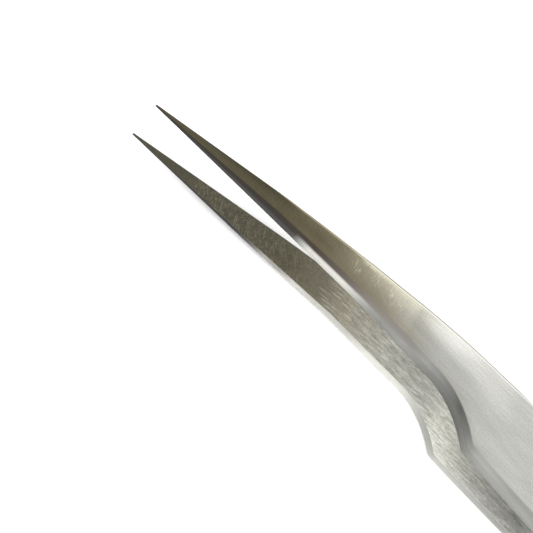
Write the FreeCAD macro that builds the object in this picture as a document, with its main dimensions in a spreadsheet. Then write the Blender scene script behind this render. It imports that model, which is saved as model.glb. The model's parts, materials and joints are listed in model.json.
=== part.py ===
"""Fine-tipped precision tweezers: two mirrored spring arms welded to a wedge-shaped heel spacer.

Millimetres, +Z up, +X towards the tips, +Y towards the concave side. The tweezers lie on the lower arm's flat
outer face, and the origin is on that face, half-way along and on the handle's axis.

Each piece is drawn in an arm frame: x is the station, measured from the tip along the handle's axis; y is the
offset from that axis, positive on the convex side; z is the height above the lower arm's outer face.
"""
import FreeCAD, Part
import math
import os

import Sketcher

os.makedirs("parts", exist_ok=True)
doc = FreeCAD.newDocument("tweezers")

# ---------------------------------------------------------------- driving dimensions
DIMENSIONS = {
    "overall_length": 122,
    "opening_half_angle": 1.45,      # degrees between each arm and the middle plane
    # plan outline
    "tip_width": 0.2,
    "tip_offset": 1.75,              # the tip's centre lies this far to the concave side
    "neck_station": 27,
    "neck_offset": 1.14,
    "throat_station": 37.5,
    "throat_offset": 1.48,
    "throat_radius": 10,
    "shoulder_station": 45,
    "shoulder_half_width": 5,
    "concave_edge_radius": 450,      # of the handle's concave side, from the shoulder to the heel
    "tip_root_station": 14,          # where the needle tip's two straight sides end
    "tip_root_offset": 0.96,         # of the convex side there
    "flare_radius": 200,             # of the convex side, from the tip's root to the flare's end
    "flare_rear_station": 30,
    "flare_rear_offset": 3.4,
    "grip_front_station": 34,
    "grip_front_half_width": 3.93,
    "grip_radius": 113,
    "grip_station": 42,
    "grip_half_width": 4.7,
    "convex_edge_radius": 600,       # of the handle's convex side, from the grip to the heel
    "heel_half_width": 4.3,
    "heel_corner_radius": 2.5,
    # side profile
    "handle_thickness": 1.5,
    "leaf_thickness": 0.75,
    "thinning_station": 66,          # where the handle starts to thin towards the leaf
    "leaf_front_station": 80,
    "leaf_rear_station": 110,
    "facet_station": 32.5,           # where the ground facet of the needle tip starts
    "tip_thickness": 0.1,
    "facet_knee_station": 15,        # where the facet steepens towards the tip
    "facet_knee_thickness": 0.95,
    "toe_station": 14,               # where the tip starts to toe in
    "toe_in": 0.1,
    "edge_rounding": 0.6,            # of the outer face's two long edges
    # heel
    "spacer_rear_thickness": 1.6,
    "nugget_radius": 1.1,
    "nugget_depth": 0.25,            # into each of the two faces that it joins
    "nugget_front_station": 113.6,
    "nugget_spacing": 4.6,
    "weld_mark_radius": 1.5,
    "weld_mark_depth": 0.06,
}

sheet = doc.addObject("Spreadsheet::Sheet", "Dimensions")
for row, (alias, number) in enumerate(DIMENSIONS.items(), start=1):
    sheet.set(f"A{row}", alias.replace("_", " "))
    sheet.set(f"B{row}", str(number))
    sheet.setAlias(f"B{row}", alias)
doc.recompute()

X_AXIS = -1                          # the sketcher's own numbers for a sketch's two axes
Y_AXIS = -2
ORIGIN_POINT = (X_AXIS, 1)
CLEAR = 5.0                          # how far a cutting or trimming shape reaches past the arm
BLANK_TOP = 3.0                      # above any face of one arm


def cell(alias):
    return f"Dimensions.{alias}"


def value(expression):
    """The number that an expression on the sheet's cells gives."""
    return float(sheet.evalExpression(expression))


def bind(item, expressions):
    for name, expression in expressions.items():
        item.setExpression(name, expression)


# Expressions that several pieces share.
HALF_LENGTH = f"{cell('overall_length')} / 2"
APEX_STATION = (f"{cell('overall_length')}"
                f" + {cell('spacer_rear_thickness')} / tan(2 deg * {cell('opening_half_angle')})")


# ---------------------------------------------------------------- sketches
def new_sketch(body, name, plane_role):
    """A sketch on one of the body's own origin planes."""
    sketch = body.newObject("Sketcher::SketchObject", name)
    plane = next(item for item in body.Origin.OriginFeatures if item.Role == plane_role)
    sketch.AttachmentSupport = (plane, "")
    sketch.MapMode = "FlatFace"
    return sketch


def hold(sketch, geometry, point, name, axis, expression):
    """Hold one coordinate of a sketch point at an expression, or on the other axis where it is zero."""
    distance = value(expression)
    if distance == 0:
        on_axis = Y_AXIS if axis == "X" else X_AXIS
        sketch.addConstraint(Sketcher.Constraint("PointOnObject", geometry, point, on_axis))
        return
    constraint = Sketcher.Constraint(f"Distance{axis}", *ORIGIN_POINT, geometry, point, distance)
    index = sketch.addConstraint(constraint)
    sketch.renameConstraint(index, f"{name}_{axis}")
    sketch.setExpression(f"Constraints.{name}_{axis}", expression)


def arc_middle(start, end, radius, side):
    """The middle point of a minor arc that bulges to the left (+1) or right (-1) of the way to its end."""
    chord = end - start
    half = chord.Length / 2
    rise = radius - math.sqrt(radius ** 2 - half ** 2)
    left = FreeCAD.Vector(-chord.y, chord.x, 0).normalize()
    return start + chord * 0.5 + left * (side * rise)


def draw_outline(sketch, corners, arcs=None):
    """A closed outline of (name, x expression, y expression) corners. arcs names the corners that an arc
    leaves, each with its radius expression and the side it bulges to; every other side is straight."""
    arcs = arcs or {}
    points = [FreeCAD.Vector(value(x), value(y), 0) for _, x, y in corners]
    sides = []
    for index, (name, _, _) in enumerate(corners):
        start = points[index]
        end = points[(index + 1) % len(points)]
        if name in arcs:
            radius, side = arcs[name]
            shape = Part.Arc(start, arc_middle(start, end, value(radius), side), end)
        else:
            shape = Part.LineSegment(start, end)
        geometry = sketch.addGeometry(shape)
        forward = sketch.getPoint(geometry, 1).isEqual(start, 1e-6)
        first, last = (1, 2) if forward else (2, 1)
        sides.append((geometry, first, last))
    for index, (name, x, y) in enumerate(corners):
        geometry, first, last = sides[index]
        following, following_first, _ = sides[(index + 1) % len(sides)]
        sketch.addConstraint(Sketcher.Constraint("Coincident", geometry, last, following, following_first))
        hold(sketch, geometry, first, name, "X", x)
        hold(sketch, geometry, first, name, "Y", y)
        if name in arcs:
            radius, _ = arcs[name]
            number = sketch.addConstraint(Sketcher.Constraint("Radius", geometry, value(radius)))
            sketch.renameConstraint(number, f"{name}_radius")
            sketch.setExpression(f"Constraints.{name}_radius", radius)
    doc.recompute()


# ---------------------------------------------------------------- the arm, as one strip
def root_concave():
    """The concave edge's straight side, at the needle tip's root."""
    tip = f"({cell('tip_offset')} + {cell('tip_width')} / 2)"
    return f"-({tip} + ({cell('neck_offset')} - {tip}) * {cell('tip_root_station')} / {cell('neck_station')})"


def handle_corners():
    """Round the arm behind the needle tip, along the concave edge to the heel and back."""
    return [
        ("root_concave", cell("tip_root_station"), root_concave()),
        ("neck", cell("neck_station"), f"-{cell('neck_offset')}"),
        ("throat", cell("throat_station"), f"-{cell('throat_offset')}"),
        ("shoulder", cell("shoulder_station"), f"-{cell('shoulder_half_width')}"),
        ("heel_concave", cell("overall_length"), f"-{cell('heel_half_width')}"),
        ("heel_convex", cell("overall_length"), cell("heel_half_width")),
        ("grip", cell("grip_station"), cell("grip_half_width")),
        ("grip_front", cell("grip_front_station"), cell("grip_front_half_width")),
        ("flare_rear", cell("flare_rear_station"), cell("flare_rear_offset")),
        ("root_convex", cell("tip_root_station"), cell("tip_root_offset")),
    ]


def tip_corners():
    """Round the needle tip, which tapers between two straight sides."""
    return [
        ("tip_concave", "0", f"-{cell('tip_offset')} - {cell('tip_width')} / 2"),
        ("root_concave", cell("tip_root_station"), root_concave()),
        ("root_convex", cell("tip_root_station"), cell("tip_root_offset")),
        ("tip_convex", "0", f"-{cell('tip_offset')} + {cell('tip_width')} / 2"),
    ]


PLAN_ARCS = {
    "throat": (cell("throat_radius"), 1),
    "shoulder": (cell("concave_edge_radius"), -1),
    "heel_convex": (cell("convex_edge_radius"), -1),
    "grip": (cell("grip_radius"), -1),
    "flare_rear": (cell("flare_radius"), -1),
}


def inner_corners():
    """What is ground off the inner face: above the toed-in tip, the flat face and the thin leaf."""
    top = str(BLANK_TOP)
    return [
        ("toe_tip", "0", f"{cell('handle_thickness')} + {cell('toe_in')}"),
        ("toe", cell("toe_station"), cell("handle_thickness")),
        ("thinning", cell("thinning_station"), cell("handle_thickness")),
        ("leaf", cell("leaf_front_station"), cell("leaf_thickness")),
        ("heel", cell("overall_length"), cell("leaf_thickness")),
        ("heel_clear", f"{cell('overall_length')} + {CLEAR}", cell("leaf_thickness")),
        ("heel_top", f"{cell('overall_length')} + {CLEAR}", top),
        ("tip_top", "0", top),
    ]


def outer_corners():
    """What is ground off the outer face: below the needle tip's facet, which steepens at its knee."""
    tip_height = f"{cell('handle_thickness')} + {cell('toe_in')} - {cell('tip_thickness')}"
    return [
        ("facet_rear", cell("facet_station"), "0"),
        ("facet_knee", cell("facet_knee_station"), f"{cell('handle_thickness')} - {cell('facet_knee_thickness')}"),
        ("facet_tip", "0", tip_height),
        ("tip_clear", str(-CLEAR), tip_height),
        ("tip_low", str(-CLEAR), str(-CLEAR)),
        ("rear_low", cell("facet_station"), str(-CLEAR)),
    ]


def edge_names(shape, wanted):
    """Names of the edges whose box passes the test."""
    return [f"Edge{number}" for number, edge in enumerate(shape.Edges, start=1) if wanted(edge.BoundBox)]


def round_off(body, base, name, wanted, radius):
    """A rounding along the chosen edges, which must take metal off."""
    feature = body.newObject("PartDesign::Fillet", name)
    feature.Base = (base, edge_names(base.Shape, wanted))
    feature.setExpression("Radius", cell(radius))
    doc.recompute()
    check([feature])
    if feature.Shape.Volume >= base.Shape.Volume:
        raise RuntimeError(f"{name} takes nothing off")
    return feature


def grind(body, base, name, corners):
    """A face ground off right across the strip, which must take metal off."""
    sketch = new_sketch(body, f"{name}Profile", "XZ_Plane")
    draw_outline(sketch, corners)
    feature = body.newObject("PartDesign::Pocket", name)
    feature.Profile = sketch
    feature.Type = "ThroughAll"
    feature.SideType = "Symmetric"
    doc.recompute()
    check([feature])
    if feature.Shape.Volume >= base.Shape.Volume:
        raise RuntimeError(f"{name} takes nothing off")
    return feature


def pad_outline(body, name, corners, arcs=None):
    """A plan outline raised to the full height of one arm."""
    sketch = new_sketch(body, f"{name}Outline", "XY_Plane")
    draw_outline(sketch, corners, arcs)
    feature = body.newObject("PartDesign::Pad", name)
    feature.Profile = sketch
    feature.setExpression("Length", f"{cell('handle_thickness')} + {cell('toe_in')}")
    doc.recompute()
    check([feature])
    return feature


def make_arm_strip():
    """One whole arm: cut to its plan outline, rounded along the outer face, then ground on both faces."""
    body = doc.addObject("PartDesign::Body", "ArmStrip")
    handle = pad_outline(body, "Handle", handle_corners(), PLAN_ARCS)
    round_off(body, handle, "EdgeRounding", lambda box: box.ZMax < 1e-6 < box.XLength, "edge_rounding")
    tip = pad_outline(body, "NeedleTip", tip_corners())
    inner = grind(body, tip, "InnerGrind", inner_corners())
    outer = grind(body, inner, "TipFacet", outer_corners())
    body.Tip = outer
    return body


# ---------------------------------------------------------------- cutting shapes
def make_box(name, start, length):
    """A box across the arm, from one station for a length."""
    box = doc.addObject("Part::Box", name)
    width = 4 * CLEAR
    bind(box, {"Length": length, "Placement.Base.x": start})
    box.Width = width
    box.Height = width
    box.Placement.Base.y = -width / 2
    box.Placement.Base.z = -width / 2
    return box


def make_heel_trim():
    """The heel's rounded plan outline, as a tall block from the leaf to the heel's end."""
    body = doc.addObject("PartDesign::Body", "HeelTrim")
    sketch = new_sketch(body, "HeelOutline", "XY_Plane")
    front = cell("leaf_rear_station")
    corner_start = f"{cell('overall_length')} - {cell('heel_corner_radius')}"
    side = f"{cell('heel_half_width')} + 2"
    flat = f"({cell('heel_half_width')} - {cell('heel_corner_radius')})"
    edge = f"{cell('heel_half_width')}"
    corners = [
        ("front_concave", front, f"-({side})"),
        ("side_concave", corner_start, f"-({side})"),
        ("corner_concave", corner_start, f"-{edge}"),
        ("end_concave", cell("overall_length"), f"-{flat}"),
        ("end_convex", cell("overall_length"), flat),
        ("corner_convex", corner_start, edge),
        ("side_convex", corner_start, side),
        ("front_convex", front, side),
    ]
    radius = cell("heel_corner_radius")
    draw_outline(sketch, corners, {"corner_concave": (radius, -1), "end_convex": (radius, -1)})
    pad = body.newObject("PartDesign::Pad", "HeelBlock")
    pad.Profile = sketch
    pad.Length = 4 * CLEAR
    pad.SideType = "Symmetric"
    doc.recompute()
    return body


def make_nuggets(name, height, depth, radius):
    """Two discs in line along the handle's axis."""
    group = doc.addObject("Part::Compound", name)
    discs = []
    for number in range(2):
        disc = doc.addObject("Part::Cylinder", f"{name}Disc{number + 1}")
        station = f"{cell('nugget_front_station')} + {number} * {cell('nugget_spacing')}"
        bind(disc, {"Radius": radius, "Height": depth, "Placement.Base.x": station, "Placement.Base.z": height})
        discs.append(disc)
    group.Links = discs
    return group


# ---------------------------------------------------------------- booleans
def common(name, base, tool):
    item = doc.addObject("Part::Common", name)
    item.Base = base
    item.Tool = tool
    return item


def cut(name, base, tool):
    item = doc.addObject("Part::Cut", name)
    item.Base = base
    item.Tool = tool
    return item


def mirror(name, source):
    """The upper arm's copy of a lower piece, across the tilted middle plane through the spacer's apex."""
    item = doc.addObject("Part::Mirroring", name)
    item.Source = source
    tilt = f"{cell('opening_half_angle')} * 1 deg"
    bind(item, {
        "Base.x": APEX_STATION,
        "Base.z": cell("leaf_thickness"),
        "Normal.x": f"sin({tilt})",
        "Normal.z": f"cos({tilt})",
    })
    item.Normal.y = 0
    return item


# ---------------------------------------------------------------- pieces
def make_spacer_wedge(plan):
    """The wedge between the arms' inner faces, as wide as the arms."""
    body = doc.addObject("PartDesign::Body", "SpacerWedge")
    sketch = new_sketch(body, "WedgeProfile", "XZ_Plane")
    front = cell("leaf_rear_station")
    rear = cell("overall_length")
    slope = f"tan(2 deg * {cell('opening_half_angle')})"
    corners = [
        ("front_low", front, cell("leaf_thickness")),
        ("rear_low", rear, cell("leaf_thickness")),
        ("rear_high", rear, f"{cell('leaf_thickness')} + {cell('spacer_rear_thickness')}"),
        ("front_high", front, f"{cell('leaf_thickness')} + ({APEX_STATION} - {front}) * {slope}"),
    ]
    draw_outline(sketch, corners)
    pad = body.newObject("PartDesign::Pad", "Wedge")
    pad.Profile = sketch
    pad.Length = 4 * CLEAR
    pad.SideType = "Symmetric"
    doc.recompute()
    prism = doc.addObject("Part::Extrusion", "PlanPrism")
    prism.Base = plan
    prism.DirMode = "Custom"
    prism.Dir = FreeCAD.Vector(0, 0, 1)
    prism.LengthFwd = 4 * CLEAR
    prism.Solid = True
    return common("SpacerPlan", body, prism)


def make_pieces():
    """Every node, by name."""
    strip = make_arm_strip()
    heel_trim = make_heel_trim()
    blade_box = make_box("BladeBox", str(-CLEAR), f"{cell('leaf_front_station')} + {CLEAR}")
    leaf_box = make_box("LeafBox", cell("leaf_front_station"),
                        f"{cell('leaf_rear_station')} - {cell('leaf_front_station')}")
    joint_height = f"{cell('leaf_thickness')} - {cell('nugget_depth')}"
    nuggets = make_nuggets("LowerNuggets", joint_height, f"2 * {cell('nugget_depth')}", cell("nugget_radius"))
    marks = make_nuggets("WeldMarks", f"{cell('weld_mark_depth')} - {CLEAR}", str(CLEAR),
                         cell("weld_mark_radius"))
    plan = doc.getObject("HandleOutline")

    blade = common("LowerBlade", strip, blade_box)
    leaf = common("LowerLeaf", strip, leaf_box)
    tab = cut("LowerTab", cut("LowerTabUnmarked", common("LowerTabWhole", strip, heel_trim), nuggets), marks)
    upper_nuggets = mirror("UpperNuggets", nuggets)
    wedge = common("SpacerWhole", make_spacer_wedge(plan), heel_trim)
    spacer = cut("Spacer", cut("SpacerLowerFit", wedge, nuggets), upper_nuggets)
    return {
        "lower_arm_blade": blade,
        "lower_arm_leaf": leaf,
        "lower_heel_tab": tab,
        "lower_weld_nuggets": nuggets,
        "upper_arm_blade": mirror("UpperBlade", blade),
        "upper_arm_leaf": mirror("UpperLeaf", leaf),
        "upper_heel_tab": mirror("UpperTab", tab),
        "upper_weld_nuggets": upper_nuggets,
        "heel_spacer": spacer,
    }


# ---------------------------------------------------------------- checking and writing
def check(items):
    """Stop if an object failed to compute or its shape is unsound."""
    for item in items:
        if "Invalid" in item.State or "Error" in item.State:
            raise RuntimeError(f"{item.Label} failed to compute: {item.State}")
        if hasattr(item, "Shape") and (item.Shape.isNull() or not item.Shape.isValid()):
            raise RuntimeError(f"{item.Label} has no valid shape")


def write_nodes(pieces):
    """Turn each piece from the arm frame into the row frame and write it."""
    to_row = FreeCAD.Placement(FreeCAD.Vector(value(HALF_LENGTH), 0, 0), FreeCAD.Rotation(180, 0, 0))
    nodes = []
    for label, piece in pieces.items():
        node = doc.addObject("Part::Compound", f"Node_{label}")
        node.Links = [piece]
        node.Label = label
        node.Placement = to_row
        nodes.append(node)
    doc.recompute()
    check(item for item in doc.Objects if item.isDerivedFrom("Part::Feature"))
    for node in nodes:
        node.Shape.exportStep(f"parts/{node.Label}.step")
        print(node.Label, len(node.Shape.Solids), "solids", round(node.Shape.Volume, 3), "mm3")


write_nodes(make_pieces())
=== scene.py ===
"""Fine-tipped steel tweezers lying on one arm: the looks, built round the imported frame.

The arms are lofted through cross-sections along the handle's axis. In the arm frame, a station is the
distance back from the tips, an offset is positive on the convex side, and a height is above the lower arm's
outer face. Lengths below are in millimetres, apart from what the frame gives and what is marked as metres.
"""

import json
import math

import bmesh
import bpy
import numpy as np
from mathutils import Matrix, Vector


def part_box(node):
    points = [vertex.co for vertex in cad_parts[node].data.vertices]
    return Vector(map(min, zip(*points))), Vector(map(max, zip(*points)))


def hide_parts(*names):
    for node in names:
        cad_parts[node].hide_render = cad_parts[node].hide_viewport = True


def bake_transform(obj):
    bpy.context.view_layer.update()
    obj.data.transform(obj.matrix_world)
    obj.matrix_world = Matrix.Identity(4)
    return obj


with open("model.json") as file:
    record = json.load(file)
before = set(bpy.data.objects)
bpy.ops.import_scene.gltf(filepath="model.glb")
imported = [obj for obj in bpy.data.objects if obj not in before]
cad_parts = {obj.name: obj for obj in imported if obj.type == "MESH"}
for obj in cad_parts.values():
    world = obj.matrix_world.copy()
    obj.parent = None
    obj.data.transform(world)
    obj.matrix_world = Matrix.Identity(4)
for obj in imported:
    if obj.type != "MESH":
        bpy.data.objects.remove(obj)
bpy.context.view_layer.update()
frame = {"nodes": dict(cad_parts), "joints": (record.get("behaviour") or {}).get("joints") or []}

MM = 0.001

# ---------------------------------------------------------------- sizes from the frame
leaf_low, leaf_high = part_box("lower_arm_leaf")

TIP_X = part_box("lower_arm_blade")[1].x / MM
LENGTH = TIP_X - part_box("lower_heel_tab")[0].x / MM
LEAF_FRONT = TIP_X - leaf_high.x / MM
LEAF_REAR = TIP_X - leaf_low.x / MM
LEAF_THICKNESS = leaf_high.z / MM

# ---------------------------------------------------------------- the arm's own shape
TIP_WIDTH = 0.2
TIP_OFFSET = 1.75
TIP_THICKNESS = 0.1
HANDLE_THICKNESS = 1.5
TOE_IN = 0.1
TOE = 14.0
KNEE = 15.0
KNEE_THICKNESS = 0.95
FACET = 32.5
FACET_LINE = 0.5                     # how far before and after its end the facet's grain gives way
THINNING = 66.0

NECK = (27.0, -1.14)
THROAT = (37.5, -1.48)
THROAT_RADIUS = 10.0
SHOULDER = (45.0, -5.0)
SHOULDER_ROUNDING = 0.25
CONCAVE_EDGE_RADIUS = 450.0
TIP_ROOT = (14.0, 0.96)
FLARE_RADIUS = 200.0
FLARE_REAR = (30.0, 3.4)
GRIP_FRONT = (34.0, 3.93)
GRIP = (42.0, 4.7)
CONVEX_EDGE_RADIUS = 600.0
HEEL_HALF_WIDTH = 4.3
HEEL_CORNER = 2.5

EDGE_ROUNDING = 0.6                  # of the outer face's long edges
SHARP_ROUNDING = 0.04                # of the convex edge, on the needle tip
INNER_BREAK = 0.02
WELD_MARKS = (113.6, 118.2)
WELD_MARK_RADIUS = 1.5
WELD_MARK_DEPTH = 0.06
WELD_MARK_RIM = 0.35


def arc_offset(start, end, radius, side, station):
    """The offset, at a station, of the arc from start to end that bulges to +1 (convex side) or -1."""
    (x0, y0), (x1, y1) = start, end
    half = math.hypot(x1 - x0, y1 - y0) / 2
    across = math.sqrt(radius ** 2 - half ** 2)
    centre_x = (x0 + x1) / 2 + side * (y1 - y0) / (2 * half) * across
    centre_y = (y0 + y1) / 2 - side * (x1 - x0) / (2 * half) * across
    return centre_y + side * math.sqrt(max(radius ** 2 - (station - centre_x) ** 2, 0.0))


def along(points, station):
    """The value at a station of a line through (station, value) points."""
    return float(np.interp(station, [p[0] for p in points], [p[1] for p in points]))


def hermite(start, start_slope, end, end_slope, station):
    """A smooth curve between two points with a given slope at each."""
    span = end[0] - start[0]
    u = (station - start[0]) / span
    return ((2 * u ** 3 - 3 * u ** 2 + 1) * start[1] + (u ** 3 - 2 * u ** 2 + u) * span * start_slope
            + (3 * u ** 2 - 2 * u ** 3) * end[1] + (u ** 3 - u ** 2) * span * end_slope)


def smooth_step(value, start, end):
    u = min(max((value - start) / (end - start), 0.0), 1.0)
    return u * u * (3 - 2 * u)


def heel_limit(station):
    """Half the heel's width where its corners are rounded; elsewhere no limit."""
    past = station - (LENGTH - HEEL_CORNER)
    if past <= 0:
        return math.inf
    return HEEL_HALF_WIDTH - HEEL_CORNER + math.sqrt(max(HEEL_CORNER ** 2 - past ** 2, 0.0))


def concave_offset(station):
    """The concave edge: straight tip and neck, the throat's arc, a rounded shoulder, the long arc."""
    tip = (0.0, -TIP_OFFSET - TIP_WIDTH / 2)
    heel = (LENGTH, -HEEL_HALF_WIDTH)
    if station <= THROAT[0]:
        return along([tip, NECK, THROAT], station)
    throat = arc_offset(THROAT, SHOULDER, THROAT_RADIUS, 1, station)
    handle = arc_offset(SHOULDER, heel, CONCAVE_EDGE_RADIUS, -1, station)
    gap = throat - handle
    rounded = (throat + handle + math.sqrt(gap ** 2 + SHOULDER_ROUNDING ** 2)) / 2
    return max(rounded, -heel_limit(station))


def convex_offset(station):
    """The convex edge: the straight tip, a long flare, a grip and the handle's long arc."""
    tip = (0.0, -TIP_OFFSET + TIP_WIDTH / 2)
    heel = (LENGTH, HEEL_HALF_WIDTH)
    if station <= TIP_ROOT[0]:
        return along([tip, TIP_ROOT], station)
    if station <= FLARE_REAR[0]:
        return arc_offset(TIP_ROOT, FLARE_REAR, FLARE_RADIUS, 1, station)
    if station <= GRIP_FRONT[0]:
        return along([FLARE_REAR, GRIP_FRONT], station)
    step = 0.01
    flare_slope = (GRIP_FRONT[1] - FLARE_REAR[1]) / (GRIP_FRONT[0] - FLARE_REAR[0])
    grip_slope = (arc_offset(GRIP, heel, CONVEX_EDGE_RADIUS, 1, GRIP[0] + step) - GRIP[1]) / step
    if station <= GRIP[0]:
        return hermite(GRIP_FRONT, flare_slope, GRIP, grip_slope, station)
    return min(arc_offset(GRIP, heel, CONVEX_EDGE_RADIUS, 1, station), heel_limit(station))


def inner_height(station):
    """The inner face: toed in at the tip, flat, then thinned down to the leaf."""
    return along([(0.0, HANDLE_THICKNESS + TOE_IN), (TOE, HANDLE_THICKNESS), (THINNING, HANDLE_THICKNESS),
                  (LEAF_FRONT, LEAF_THICKNESS)], station)


def outer_height(station):
    """The outer face: flat on the handle, then ground off towards the tip, more steeply past the knee."""
    return along([(0.0, HANDLE_THICKNESS + TOE_IN - TIP_THICKNESS), (KNEE, HANDLE_THICKNESS - KNEE_THICKNESS),
                  (FACET, 0.0)], station)


def weld_mark(station, offset):
    """How deep the outer face is pressed in at a spot weld."""
    nearest = min(math.hypot(station - centre, offset) for centre in WELD_MARKS)
    return WELD_MARK_DEPTH * smooth_step(WELD_MARK_RADIUS - nearest, 0.0, WELD_MARK_RIM)


# ---------------------------------------------------------------- lofting
def stations():
    """Stations along the arm, closer together where the outline or a face turns."""
    facet_front, facet_rear = FACET - FACET_LINE, FACET + FACET_LINE
    shoulder_front, shoulder_rear = SHOULDER[0] - 1.0, SHOULDER[0] + 1.5
    marks_front = WELD_MARKS[0] - 1.2 * WELD_MARK_RADIUS
    spans = [(0.0, 2.0, 8), (2.0, TOE, 24), (TOE, 20.0, 20), (20.0, facet_front, 40),
             (facet_front, facet_rear, 10), (facet_rear, shoulder_front, 70),
             (shoulder_front, shoulder_rear, 30), (shoulder_rear, LEAF_FRONT, 50),
             (LEAF_FRONT, LEAF_REAR, 60), (LEAF_REAR, marks_front, 6), (marks_front, LENGTH - HEEL_CORNER, 52)]
    found = [start + (end - start) * step / count for start, end, count in spans for step in range(count)]
    corner_steps = 24
    for step in range(corner_steps + 1):
        angle = math.pi / 2 * step / corner_steps
        found.append(LENGTH - HEEL_CORNER + HEEL_CORNER * math.sin(angle))
    return found


FACE_POINTS = 41                     # across the outer face
INNER_POINTS = 9
ROUND_STEPS = 6
WALL_STEPS = 3
GUARD = 0.04                         # a column this close to a rounding keeps the flat face's shading flat


def concave_rounding(station, width, thickness):
    """The concave edge's rounding, smaller where the needle tip is too thin or too narrow for it."""
    thin_limit = 0.5 * thickness if station < FACET else EDGE_ROUNDING
    return min(EDGE_ROUNDING, thin_limit, 0.4 * width)


def convex_rounding(station, thickness):
    """How far across and how far up the convex edge is rounded: hardly at all at the needle tip's point."""
    stops = [0.0, 14.0, 17.0, 24.0]
    across = float(np.interp(station, stops, [SHARP_ROUNDING, 0.35, 0.5, EDGE_ROUNDING]))
    up = float(np.interp(station, stops, [SHARP_ROUNDING, 0.5, EDGE_ROUNDING, EDGE_ROUNDING]))
    return across, min(up, 0.6 * thickness)


def cross_section(station):
    """The arm's outline at a station: (offset, height, material slot of the side that follows), all round."""
    concave, convex = concave_offset(station), convex_offset(station)
    outer, inner = outer_height(station), inner_height(station)
    width, thickness = convex - concave, inner - outer
    near = concave_rounding(station, width, thickness)
    far_across, far_up = convex_rounding(station, thickness)
    edge_break = min(INNER_BREAK, 0.2 * thickness)
    guard = min(GUARD, 0.1 * (width - near - far_across))
    low, high = concave + near, convex - far_across

    points = [(low, outer, "face")]
    for index in range(FACE_POINTS):
        offset = low + guard + (high - low - 2 * guard) * index / (FACE_POINTS - 1)
        points.append((offset, outer + weld_mark(station, offset), "face"))
    for step in range(ROUND_STEPS):
        angle = math.pi / 2 * step / ROUND_STEPS
        height = outer + far_up * (1 - math.cos(angle))
        points.append((high + far_across * math.sin(angle), height, "convex_edge"))
    convex_wall, concave_wall = thickness - far_up - edge_break, thickness - near - edge_break
    for step in range(WALL_STEPS):
        points.append((convex, outer + far_up + convex_wall * step / WALL_STEPS, "wall"))
    points.append((convex, inner - edge_break, "inner"))
    for index in range(INNER_POINTS):
        offset = convex - edge_break - (width - 2 * edge_break) * index / (INNER_POINTS - 1)
        points.append((offset, inner, "inner"))
    for step in range(WALL_STEPS):
        points.append((concave, inner - edge_break - concave_wall * step / WALL_STEPS, "wall"))
    for step in range(ROUND_STEPS):
        angle = math.pi / 2 * step / ROUND_STEPS
        points.append((low - near * math.cos(angle), outer + near * (1 - math.sin(angle)), "face"))
    return points


SLOTS = ("face", "convex_edge", "wall", "inner")
INNER_START = 1 + FACE_POINTS + ROUND_STEPS + WALL_STEPS
SHARP_COLUMNS = (INNER_START, INNER_START + 1, INNER_START + INNER_POINTS, INNER_START + INNER_POINTS + 1)


def middle_plane():
    """A point on the plane between the two arms and its normal, from the two hinges, in metres."""
    places = {joint["name"]: Vector(joint["pos_m"]) for joint in frame["joints"]}
    lower, upper = places["lower_arm_flex"], places["upper_arm_flex"]
    return (lower + upper) / 2, (upper - lower).normalized()


def to_row(station, offset, height):
    """A place in the arm frame as a place in the scene, in metres."""
    return Vector((TIP_X - station, -offset, height)) * MM


def make_arm(name, mirrored):
    """One whole arm as a closed mesh of quads, which carries each point's place in the arm frame."""
    point, normal = middle_plane()
    mesh = bmesh.new()
    place_layer = mesh.verts.layers.float_vector.new("arm_place")
    edge_layer = mesh.verts.layers.float_vector.new("arm_edges")
    rings = []
    for station in stations():
        section = cross_section(station)
        concave, convex = concave_offset(station), convex_offset(station)
        near = concave_rounding(station, convex - concave, inner_height(station) - outer_height(station))
        ring = []
        for offset, height, _ in section:
            place = to_row(station, offset, height)
            if mirrored:
                place -= 2 * (place - point).dot(normal) * normal
            vertex = mesh.verts.new(place)
            vertex[place_layer] = (station, offset, height)
            vertex[edge_layer] = ((offset - concave) / near, convex - offset,
                                  (offset - concave) / (convex - concave))
            ring.append(vertex)
        rings.append(ring)
    count = len(rings[0])
    slots = [SLOTS.index(slot) for _, _, slot in cross_section(FACET)]
    for first, second in zip(rings, rings[1:]):
        for index in range(count):
            following = (index + 1) % count
            face = mesh.faces.new((first[index], first[following], second[following], second[index]))
            face.smooth = True
            face.material_index = slots[index]
    for ring in (rings[0], rings[-1]):
        mesh.faces.new(ring).material_index = SLOTS.index("wall")
    bmesh.ops.recalc_face_normals(mesh, faces=mesh.faces)
    for ring, following in zip(rings, rings[1:]):
        for column in SHARP_COLUMNS:
            mesh.edges.get((ring[column], following[column])).smooth = False
    for ring in (rings[0], rings[-1]):
        for index in range(count):
            mesh.edges.get((ring[index], ring[(index + 1) % count])).smooth = False
    data = bpy.data.meshes.new(name)
    mesh.to_mesh(data)
    mesh.free()
    arm = bpy.data.objects.new(name, data)
    bpy.context.scene.collection.objects.link(arm)
    return arm


# ---------------------------------------------------------------- materials
STEEL_BLUE = 0.97                    # blue against green, in neutral steel
TINT_STATIONS = (20.0, 30.0, 36.0)   # the tip's tint fades from the first of these and is gone at the last
TINT_SHARES = (1.0, 0.35, 0.0)

# Tints of the needle tip, as red and blue against green: partly the steel's own tint, partly a painted
# reflection of dark surroundings.
OLIVE = (1.065, 0.79)
SOFT_OLIVE = (1.055, 0.82)
ROSY = (1.1, 0.91)
PLAIN = (1.01, 0.97)

# Screen tones of marks, of narrow bands of painted highlight and painted shade, and of the heel's own pieces.
PALE_MARK = (222, 218, 198)
LIT_LINE = (230, 227, 206)
SHADE_BAND = (122, 111, 88)
OUTER_SHADE_LINE = (112, 108, 92)
OLIVE_SCRATCH = (146, 142, 118)
BRIGHT_FLECK = (250, 249, 244)
DARK_FLECK = (112, 106, 94)
SPACER_TONE = (150, 148, 144)
WELD_TONE = (150, 146, 140)

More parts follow.
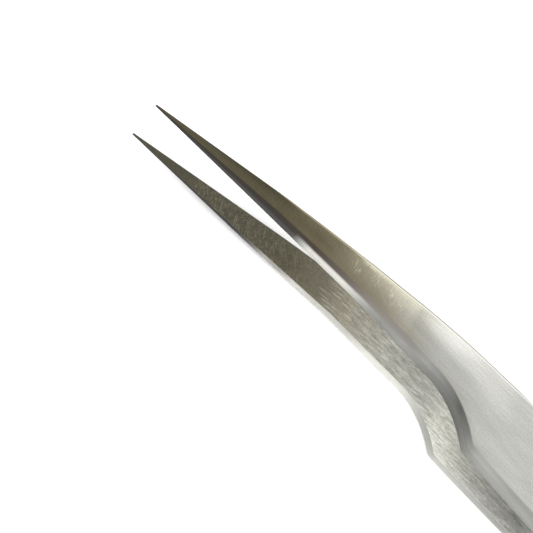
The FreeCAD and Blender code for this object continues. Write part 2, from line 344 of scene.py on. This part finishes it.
# The face's tone steps down across the facet's end: a painted change of reflection between the ground facet
# and the handle.
FACET_END = FACET - 0.2              # the tone steps down between these two, across the facet's end
HANDLE_START = FACET + 0.1


def linear(tone):
    """A screen tone (0 to 255 a channel) as a linear colour."""
    return tuple(((channel / 255 + 0.055) / 1.055) ** 2.4 for channel in tone)


def tinted(station, level, tint):
    """The screen tone of steel whose green level is given: tinted at the tip, neutral on the handle."""
    share = float(np.interp(station, TINT_STATIONS, TINT_SHARES))
    red = 1 + (tint[0] - 1) * share
    blue = STEEL_BLUE + (tint[1] - STEEL_BLUE) * share
    return level * red, level, level * blue


class Graph:
    """A material's node tree, with the few kinds of node that steel needs."""

    def __init__(self, name):
        self.material = bpy.data.materials.new(name)
        self.material.use_nodes = True
        self.nodes = self.material.node_tree.nodes
        self.links = self.material.node_tree.links
        self.shader = self.nodes["Principled BSDF"]

    def link(self, source, target):
        self.links.new(source, target)

    def attribute(self, name):
        node = self.nodes.new("ShaderNodeAttribute")
        node.attribute_name = name
        return node.outputs["Vector"]

    def part(self, vector, axis):
        node = self.nodes.new("ShaderNodeSeparateXYZ")
        self.link(vector, node.inputs[0])
        return node.outputs[axis]

    def station(self):
        return self.part(self.attribute("arm_place"), "X")

    def noise(self, vector, grain, detail=3.0, roughness=0.55, distortion=0.0):
        """Noise whose grain is this long in each direction, in the vector's own units."""
        mapping = self.nodes.new("ShaderNodeMapping")
        mapping.inputs["Scale"].default_value = [1 / size if size else 0.0 for size in grain]
        self.link(vector, mapping.inputs["Vector"])
        node = self.nodes.new("ShaderNodeTexNoise")
        node.inputs["Scale"].default_value = 1.0
        node.inputs["Detail"].default_value = detail
        node.inputs["Roughness"].default_value = roughness
        node.inputs["Distortion"].default_value = distortion
        self.link(mapping.outputs[0], node.inputs["Vector"])
        return node.outputs["Fac"]

    def turned(self, vector, degrees):
        node = self.nodes.new("ShaderNodeVectorRotate")
        node.rotation_type = "Z_AXIS"
        node.inputs["Angle"].default_value = math.radians(degrees)
        self.link(vector, node.inputs["Vector"])
        return node.outputs[0]

    def spread(self, value, low, high, to_low, to_high, smooth=False):
        """The value, with low to high stretched over to_low to to_high and held beyond them."""
        node = self.nodes.new("ShaderNodeMapRange")
        node.interpolation_type = "SMOOTHSTEP" if smooth else "LINEAR"
        for socket, number in zip(("From Min", "From Max", "To Min", "To Max"), (low, high, to_low, to_high)):
            node.inputs[socket].default_value = number
        self.link(value, node.inputs["Value"])
        return node.outputs["Result"]

    def worked_out(self, operation, first, second):
        node = self.nodes.new("ShaderNodeMath")
        node.operation = operation
        self.link(first, node.inputs[0])
        self.link(second, node.inputs[1])
        return node.outputs[0]

    def times(self, first, second):
        return self.worked_out("MULTIPLY", first, second)

    def sum(self, first, second):
        return self.worked_out("ADD", first, second)

    def less(self, value, limit, soft):
        """1 where the value is under the limit, fading to 0 over the soft distance round it."""
        return self.spread(self.worked_out("SUBTRACT", value, limit), -soft, soft, 1.0, 0.0, smooth=True)

    def window(self, value, start, end, soft):
        """1 between start and end, fading to 0 over the soft distance outside."""
        rise = self.spread(value, start - soft, start, 0.0, 1.0, smooth=True)
        fall = self.spread(value, end, end + soft, 1.0, 0.0, smooth=True)
        return self.times(rise, fall)

    def tones(self, levels, tint):
        """A steel colour that runs along the arm through (station, green level) stops."""
        node = self.nodes.new("ShaderNodeValToRGB")
        elements = node.color_ramp.elements
        while len(elements) < len(levels):
            elements.new(1.0)
        for element, (station, level) in zip(elements, levels):
            element.position = station / LENGTH
            element.color = (*linear(tinted(station, level, tint)), 1.0)
        self.link(self.spread(self.station(), 0.0, LENGTH, 0.0, 1.0), node.inputs["Fac"])
        return node.outputs["Color"]

    def scaled(self, colour, value):
        node = self.nodes.new("ShaderNodeVectorMath")
        node.operation = "SCALE"
        self.link(colour, node.inputs[0])
        self.link(value, node.inputs["Scale"])
        return node.outputs[0]

    def fill(self, socket, colour):
        """Feed a colour socket from another node, or set it to one screen tone."""
        if isinstance(colour, tuple):
            socket.default_value = (*linear(colour), 1.0)
        else:
            self.link(colour, socket)

    def mixed(self, first, second, share):
        """The first colour, moved by a share towards the second."""
        node = self.nodes.new("ShaderNodeMix")
        node.data_type = "RGBA"
        node.clamp_factor = True
        self.link(share, node.inputs["Factor"])
        self.fill(node.inputs[6], first)
        self.fill(node.inputs[7], second)
        return node.outputs[2]

    def bump(self, height, strength, distance):
        node = self.nodes.new("ShaderNodeBump")
        node.inputs["Strength"].default_value = strength
        node.inputs["Distance"].default_value = distance * MM
        self.link(height, node.inputs["Height"])
        self.link(node.outputs["Normal"], self.shader.inputs["Normal"])

    def finish(self, colour, metallic, roughness):
        self.link(colour, self.shader.inputs["Base Color"])
        self.shader.inputs["Metallic"].default_value = metallic
        if isinstance(roughness, float):
            self.shader.inputs["Roughness"].default_value = roughness
        else:
            self.link(roughness, self.shader.inputs["Roughness"])
        return self.material


def face_tones(graph, across):
    """The outer face's colour, partly painted reflection: darker at the tip and along the concave side, with a
    painted highlight brightest on the convex side just behind the facet.
    """
    # painted reflection and highlight along and across the outer face
    near = graph.tones([
        (0, 85), (20, 90), (24, 130), (28, 150), (FACET_END, 175), (HANDLE_START, 165), (37, 185), (44, 195),
    ], OLIVE)
    far = graph.tones([
        (0, 95), (8, 75), (15, 75), (18, 105), (22, 120), (28, 185), (30, 210), (FACET_END, 220),
        (HANDLE_START, 195), (35, 240), (38, 250), (48, 200),
    ], OLIVE)
    return graph.mixed(near, far, graph.spread(across, 0.38, 0.9, 0.0, 1.0, smooth=True))


def face_grain(graph, place, station):
    """Brushed lengthwise on the handle, ground crosswise on the facet."""
    handle = graph.spread(station, FACET - FACET_LINE, FACET + FACET_LINE, 0.0, 1.0)
    facet = graph.spread(station, FACET - FACET_LINE, FACET + FACET_LINE, 1.0, 0.0)
    streaks = graph.noise(place, (4.0, 0.11, 1.0), detail=5.0, roughness=0.65)
    brushed = graph.spread(streaks, 0.37, 0.63, 0.3, 0.7)
    ground = graph.noise(place, (0.13, 1.3, 1.0), detail=4.0, roughness=0.65)
    return graph.sum(graph.times(brushed, handle), graph.times(ground, facet))


def facet_marks(graph, colour, place, station, across):
    """Clusters of pale crosswise marks near the facet's end, away from the concave edge."""
    marks = graph.noise(place, (0.16, 1.0, 1.0), detail=3.0, roughness=0.6)
    clusters = graph.spread(graph.noise(place, (1.3, 1.6, 1.0), detail=1.0), 0.44, 0.56, 0.0, 1.0)
    shown = graph.times(graph.spread(marks, 0.5, 0.66, 0.0, 0.65), graph.window(station, 25.0, 30.5, 2.0))
    shown = graph.times(shown, clusters)
    shown = graph.times(shown, graph.spread(across, 0.25, 0.55, 0.0, 1.0, smooth=True))
    return graph.mixed(colour, PALE_MARK, shown)


def face_bands(graph, colour, edges, station, grain):
    """A painted highlight line beside the convex edge at the facet's end, and a band of painted shade beside
    the concave rounding.
    """
    # painted highlight: a bright line along the convex side of the face
    lit = graph.window(graph.part(edges, "Y"), 0.6, 0.65, 0.45)
    lit = graph.times(lit, graph.window(station, 26, 33, 2.0))
    colour = graph.mixed(colour, LIT_LINE, graph.times(lit, graph.spread(grain, 0.3, 0.6, 0.35, 0.85)))
    # painted shade: a dark band on the face just beside the concave rounding
    shaded = graph.window(graph.part(edges, "X"), 0.9, 1.3, 1.9)
    shaded = graph.times(shaded, graph.window(station, 19, 44, 4.0))
    return graph.mixed(colour, SHADE_BAND, graph.times(shaded, graph.spread(station, 26, 36, 0.5, 0.15)))


def concave_turn(graph, colour, edges, station, grain, arm):
    """The concave rounding in its own tone of painted reflection, which goes over into the side wall's painted
    tone where it turns down.
    """
    into_face = graph.part(edges, "X")
    # painted reflection and shade along the rounding, different for each arm
    edge = graph.tones(arm["edge"], arm["edge_tint"])
    edge = graph.scaled(edge, graph.spread(into_face, 0.5, 1.0, 1.0, 0.95))
    colour = graph.mixed(colour, edge, graph.spread(into_face, 0.75, 1.25, 1.0, 0.0, smooth=True))
    wall = graph.scaled(graph.tones(arm["wall"], PLAIN), graph.spread(into_face, 0.0, 0.2, 1.0, 0.92))
    wall = graph.scaled(wall, graph.spread(grain, 0.3, 0.7, 0.95, 1.05))
    narrower = graph.spread(station, 21.0, 26.0, 0.0, -0.1)
    limit = graph.sum(graph.spread(station, 17.0, 20.0, 0.36, 0.2), narrower)
    return graph.mixed(colour, wall, graph.less(into_face, limit, 0.12))


def face_steel(name, arm):
    """The outer face and its concave rounding."""
    graph = Graph(name)
    place = graph.attribute("arm_place")
    edges = graph.attribute("arm_edges")
    station = graph.station()
    across = graph.part(edges, "Z")
    grain = face_grain(graph, place, station)
    mottled = graph.noise(place, (0.24, 0.2, 1.0), detail=5.0, roughness=0.75)
    cloudy = graph.noise(place, (9.0, 2.5, 1.0), detail=3.0)

    colour = graph.scaled(face_tones(graph, across), graph.spread(grain, 0.3, 0.7, 0.92, 1.08))
    colour = graph.scaled(colour, graph.spread(mottled, 0.3, 0.7, 0.86, 1.14))
    colour = graph.scaled(colour, graph.spread(cloudy, 0.3, 0.7, 0.91, 1.09))
    colour = facet_marks(graph, colour, place, station, across)
    colour = face_bands(graph, colour, edges, station, grain)
    colour = concave_turn(graph, colour, edges, station, grain, arm)
    graph.bump(grain, 0.25, 0.02)
    return graph.finish(colour, 1.0, graph.spread(cloudy, 0.3, 0.7, 0.34, 0.42))


def convex_edge_steel():
    """The convex rounding: a painted highlight line, with painted shade where it turns down to the wall."""
    graph = Graph("convex_edge_steel")
    # painted highlight along the rounding, dark at the tip
    colour = graph.tones([
        (0, 70), (13.5, 75), (15, 130), (23, 165), (26, 230), (35, 250), (46, 250), (52, 215),
    ], SOFT_OLIVE)
    fine = graph.noise(graph.attribute("arm_place"), (6.0, 0.1, 0.1))
    colour = graph.scaled(colour, graph.spread(fine, 0.3, 0.7, 0.93, 1.07))
    from_wall = graph.part(graph.attribute("arm_edges"), "Y")
    # painted shade on the rounding's outer part, where it turns down to the wall
    rim_shade = graph.spread(from_wall, 0.34, 0.44, 1.0, 0.0, smooth=True)
    rim_shade = graph.times(rim_shade, graph.window(graph.station(), 26.0, 47.0, 3.0))
    colour = graph.mixed(colour, OUTER_SHADE_LINE, rim_shade)
    graph.bump(fine, 0.2, 0.02)
    return graph.finish(colour, 1.0, 0.34)


def wall_steel(name, levels):
    """A side wall: plain ground steel with fine lengthwise lines; its tones along the arm are painted
    reflection and shade, and it is a little darker towards the inner face as painted shade.
    """
    graph = Graph(name)
    place = graph.attribute("arm_place")
    colour = graph.tones(levels, PLAIN)
    fine = graph.noise(place, (8.0, 0.0, 0.09), detail=3.0)
    patchy = graph.noise(place, (1.2, 0.0, 0.14), detail=4.0, roughness=0.65)
    colour = graph.scaled(colour, graph.spread(fine, 0.3, 0.7, 0.9, 1.1))
    colour = graph.scaled(colour, graph.spread(patchy, 0.3, 0.7, 0.9, 1.1))
    # painted shade: darker towards the inner face, between the arms
    colour = graph.scaled(colour, graph.spread(graph.part(place, "Z"), 0.6, 1.45, 1.08, 0.9))
    graph.bump(fine, 0.3, 0.02)
    return graph.finish(colour, 1.0, 0.4)


def inner_steel():
    """The inner face: scratched crosswise near the tip, with coarse wavy streaks along it further back. Its
    tone along the arm is painted shade and reflection: dark towards the tip between the arms, bright at the
    throat.
    """
    graph = Graph("inner_steel")
    place = graph.attribute("arm_place")
    station = graph.station()
    # painted shade and light along the arm: dark near the tip, brightest at the throat
    colour = graph.tones([
        (0, 70), (14, 75), (20, 85), (22, 100), (25, 120), (28, 160), (34, 185), (41, 195), (44, 235),
        (46, 230), (49, 205), (56, 185),
    ], SOFT_OLIVE)
    back = graph.spread(station, 21.0, 31.0, 0.0, 1.0, smooth=True)
    wavy = graph.noise(graph.turned(place, 5.0), (2.0, 0.17, 1.0), detail=5.0, roughness=0.7, distortion=0.15)
    rough = graph.noise(place, (0.26, 0.24, 1.0), detail=5.0, roughness=0.7)
    streaks = graph.times(graph.spread(wavy, 0.32, 0.68, -0.26, 0.26), back)
    colour = graph.scaled(colour, graph.sum(streaks, graph.spread(rough, 0.3, 0.7, 0.8, 1.2)))
    flecks = graph.noise(graph.turned(place, -4.0), (1.4, 0.17, 1.0), roughness=0.6, distortion=0.15)
    colour = graph.mixed(colour, BRIGHT_FLECK, graph.times(graph.spread(flecks, 0.55, 0.72, 0.0, 0.6), back))
    colour = graph.mixed(colour, DARK_FLECK, graph.times(graph.spread(flecks, 0.45, 0.3, 0.0, 0.5), back))
    for degrees, length, share in ((62.0, 0.7, 0.55), (-58.0, 0.5, 0.35)):
        scratches = graph.noise(graph.turned(place, degrees), (length, 0.09, 1.0), detail=3.0, roughness=0.6)
        shown = graph.spread(scratches, 0.52, 0.68, 0.0, share)
        shown = graph.times(shown, graph.window(station, 9.0, 22.0, 3.0))
        colour = graph.mixed(colour, OLIVE_SCRATCH, shown)
    graph.bump(graph.sum(streaks, rough), 0.5, 0.04)
    return graph.finish(colour, 0.6, 0.6)


def plain_steel(name, tone, roughness):
    """Plain steel for the heel's own pieces, which are not seen from the front."""
    graph = Graph(name)
    coordinates = graph.nodes.new("ShaderNodeTexCoord").outputs["Object"]
    grain = graph.noise(coordinates, (6 * MM, 0.15 * MM, 0.15 * MM))
    darker, lighter = (tuple(channel + change for channel in tone) for change in (-12, 12))
    colour = graph.mixed(darker, lighter, grain)
    graph.bump(grain, 0.2, 0.02)
    return graph.finish(colour, 1.0, roughness)


# ---------------------------------------------------------------- building
# For each arm, green levels along its concave rounding ("edge") and its side walls. These are painted
# reflections: the lower arm's run bright as if mirroring the white floor, which also covers its contact
# shadow, and the upper arm's are painted shade in the throat, with a painted glint on the wall behind the
# neck.
ARMS = {
    "lower": {
        "mirrored": False,
        "edge_tint": PLAIN,
        "edge": [(0, 75), (14, 90), (20, 220), (60, 235)],
        "wall": [(0, 50), (14, 60), (16, 100), (18, 170), (20, 160), (22, 205), (24, 195), (30, 195),
                 (33, 215), (38, 215), (42, 170), (44, 160), (46, 185), (56, 155)],
    },
    "upper": {
        "mirrored": True,
        "edge_tint": ROSY,
        "edge": [(0, 65), (14, 65), (20, 75), (24, 105), (27, 135), (30, 145), (34, 150), (36, 165),
                 (38, 150), (42, 100), (44, 125), (46, 175), (48, 180), (52, 165)],
        "wall": [(0, 65), (17.6, 70), (19.6, 195), (24.5, 200), (28, 145), (30, 130), (33, 140), (41, 100),
                 (43.5, 100), (46, 135), (48, 145)],
    },
}


def build_arms():
    shared = {"convex_edge": convex_edge_steel(), "inner": inner_steel()}
    for side, arm_facts in ARMS.items():
        arm = make_arm(f"{side}_arm", arm_facts["mirrored"])
        materials = dict(shared, wall=wall_steel(f"{side}_wall_steel", arm_facts["wall"]),
                         face=face_steel(f"{side}_face_steel", arm_facts))
        for slot in SLOTS:
            arm.data.materials.append(materials[slot])
        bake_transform(arm)
        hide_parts(f"{side}_arm_blade", f"{side}_arm_leaf", f"{side}_heel_tab")


def build_heel():
    weld_steel = plain_steel("weld_steel", WELD_TONE, 0.5)
    materials = {"heel_spacer": plain_steel("spacer_steel", SPACER_TONE, 0.45),
                 "lower_weld_nuggets": weld_steel,
                 "upper_weld_nuggets": weld_steel}
    for name, material in materials.items():
        data = frame["nodes"][name].data
        data.materials.clear()
        data.materials.append(material)


# ---------------------------------------------------------------- stage, lights and camera
def build_floor():
    half = 1.5                       # metres
    mesh = bmesh.new()
    corners = [(-half, -half), (half, -half), (half, half), (-half, half)]
    mesh.faces.new([mesh.verts.new((x, y, 0)) for x, y in corners])
    data = bpy.data.meshes.new("floor")
    mesh.to_mesh(data)
    mesh.free()
    floor = bpy.data.objects.new("floor", data)
    bpy.context.scene.collection.objects.link(floor)
    graph = Graph("floor_white")
    graph.shader.inputs["Base Color"].default_value = (0.92, 0.92, 0.92, 1)
    graph.shader.inputs["Roughness"].default_value = 0.9
    data.materials.append(graph.material)


def build_world():
    world = bpy.data.worlds.new("studio")
    world.use_nodes = True
    background = world.node_tree.nodes["Background"]
    background.inputs["Color"].default_value = (1, 1, 1, 1)
    background.inputs["Strength"].default_value = 1.0
    bpy.context.scene.world = world


def build_sun(name, direction, strength, spread):
    """A soft, distant light that shines along the direction."""
    data = bpy.data.lights.new(name, "SUN")
    data.energy = strength
    data.angle = math.radians(spread)
    lamp = bpy.data.objects.new(name, data)
    lamp.rotation_euler = Vector(direction).to_track_quat("-Z", "Y").to_euler()
    lamp.visible_glossy = False
    bpy.context.scene.collection.objects.link(lamp)


CAMERA_PLACE = (55.04, 45.32, 69.02)
CAMERA_FORWARD = (-0.15681, -0.53071, -0.83292)
CAMERA_UP = (0.67769, -0.67131, 0.30015)
CAMERA_LENS = 54.03
SENSOR_WIDTH = 36.0


def build_camera():
    """The camera, above the needle tips on their concave side."""
    place = Vector(CAMERA_PLACE) * MM
    forward = Vector(CAMERA_FORWARD).normalized()
    up = Vector(CAMERA_UP)
    right = forward.cross(up).normalized()
    up = right.cross(forward)
    data = bpy.data.cameras.new("camera")
    data.lens = CAMERA_LENS
    data.sensor_width = SENSOR_WIDTH
    data.clip_start = 0.005
    camera = bpy.data.objects.new("camera", data)
    rotation = Matrix((right, up, -forward)).transposed()
    camera.matrix_world = Matrix.Translation(place) @ rotation.to_4x4()
    bpy.context.scene.collection.objects.link(camera)
    bpy.context.scene.camera = camera


build_arms()
build_heel()
build_floor()
build_world()
build_sun("front_light", (-0.15, -0.72, -0.68), 3.0, 120)
build_camera()
bpy.context.scene.view_settings.view_transform = "Standard"
